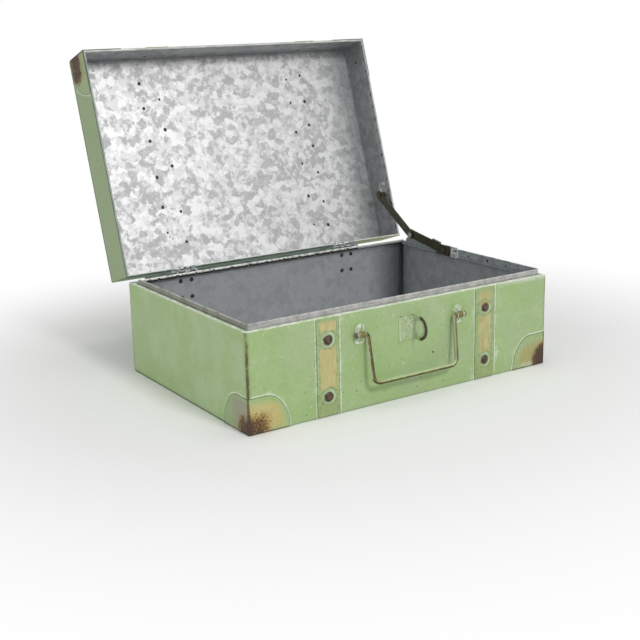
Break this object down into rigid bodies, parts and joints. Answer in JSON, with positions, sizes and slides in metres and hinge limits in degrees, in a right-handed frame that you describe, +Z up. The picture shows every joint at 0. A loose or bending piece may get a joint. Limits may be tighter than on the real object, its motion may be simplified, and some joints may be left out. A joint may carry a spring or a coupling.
{
  "type": "small tin trunk",
  "caption": "Small folded-steel trunk with a hinged lid, elbow stay, hasp and staple, bail handle, riveted straps and corner plates.",
  "frame": {"origin": "centre of the base's underside", "axes": "+X to the right along the front, +Y from the front to the back, +Z up; the lid stands open at rest"},
  "size_m": [0.3614, 0.385, 0.3325],
  "materials": {
    "green_paint": "matte chalky paint, worn at the edges",
    "strap_paint": "matte paint, green at the borders and ochre inside",
    "corner_paint": "matte paint, stippled rust brown towards the corner",
    "dark_rivet": "dark brown, satin",
    "zinc": "bright zinc",
    "worn_zinc": "zinc with worn green paint",
    "aged_brass": "dull olive brass",
    "stay_black": "dark olive, satin"
  },
  "bodies": {
    "trunk": {"body_wrap": "green_paint", "end_wall_left": "green_paint", "end_wall_right": "green_paint", "rim_collar": "zinc", "rear_rim_strip": "zinc", "front_strap_left": "strap_paint", "front_strap_right": "strap_paint", "front_strap_rivets": "dark_rivet", "body_corner_left": "corner_paint", "body_corner_right": "corner_paint", "staple": "worn_zinc", "staple_rivets": "worn_zinc", "handle_eye_left": "aged_brass", "handle_eye_right": "aged_brass", "handle_eye_rivets": "aged_brass", "hinge_body_leaf_left": "zinc", "hinge_body_leaf_right": "zinc", "hinge_pin_left": "zinc", "hinge_pin_right": "zinc", "hinge_body_rivets": "zinc", "stay_body_plate": "zinc", "stay_body_rivets": "zinc", "stay_body_pivot": "zinc"},
    "lid": {"lid_wrap": "green_paint", "lid_end_left": "green_paint", "lid_end_right": "green_paint", "lid_strap_left": "strap_paint", "lid_strap_right": "strap_paint", "lid_strap_rivets": "dark_rivet", "lid_corner_left": "corner_paint", "lid_corner_right": "corner_paint", "hinge_lid_leaf_left": "zinc", "hinge_lid_leaf_right": "zinc", "hinge_lid_rivets": "zinc", "hasp_leaf": "zinc", "hasp_leaf_rivets": "zinc", "hasp_pin": "zinc", "stay_lid_plate": "zinc", "stay_lid_rivets": "zinc", "stay_lid_pivot": "zinc"},
    "hasp": {"hasp_flap": "zinc"},
    "handle": {"handle_bail": "aged_brass"},
    "stay_lower": {"stay_lower_link": "stay_black", "elbow_rivet_outer": "zinc"},
    "stay_upper": {"stay_upper_link": "stay_black", "elbow_rivet_inner": "zinc"}
  },
  "joints": [
    {"name": "lid_hinge", "type": "hinge", "parent": "trunk", "child": "lid", "pos_m": [0, 0.1252, 0.09715], "axis": [1, 0, 0], "range_deg": [0, 107.7]},
    {"name": "hasp_hinge", "type": "hinge", "parent": "lid", "child": "hasp", "pos_m": [0.0065, 0.23933, 0.32598], "axis": [1, 0, 0], "range_deg": [-1, 255.7]},
    {"name": "handle_swing", "type": "hinge", "parent": "trunk", "child": "handle", "pos_m": [0.001, -0.1259, 0.0745], "axis": [-1, 0, 0], "range_deg": [-11, 140]},
    {"name": "stay_foot_pivot", "type": "hinge", "parent": "trunk", "child": "stay_lower", "pos_m": [0.1729, 0.0345, 0.0985], "axis": [1, 0, 0], "range_deg": [-78.22, 0]},
    {"name": "stay_top_pivot", "type": "hinge", "parent": "lid", "child": "stay_upper", "pos_m": [0.1714, 0.15649, 0.147], "axis": [1, 0, 0], "range_deg": [-61.56, 0]}
  ],
  "couplings": [
    {"joint": "stay_foot_pivot", "follows": "lid_hinge", "ratio": -0.72622},
    {"joint": "stay_top_pivot", "follows": "lid_hinge", "ratio": -0.5715}
  ]
}
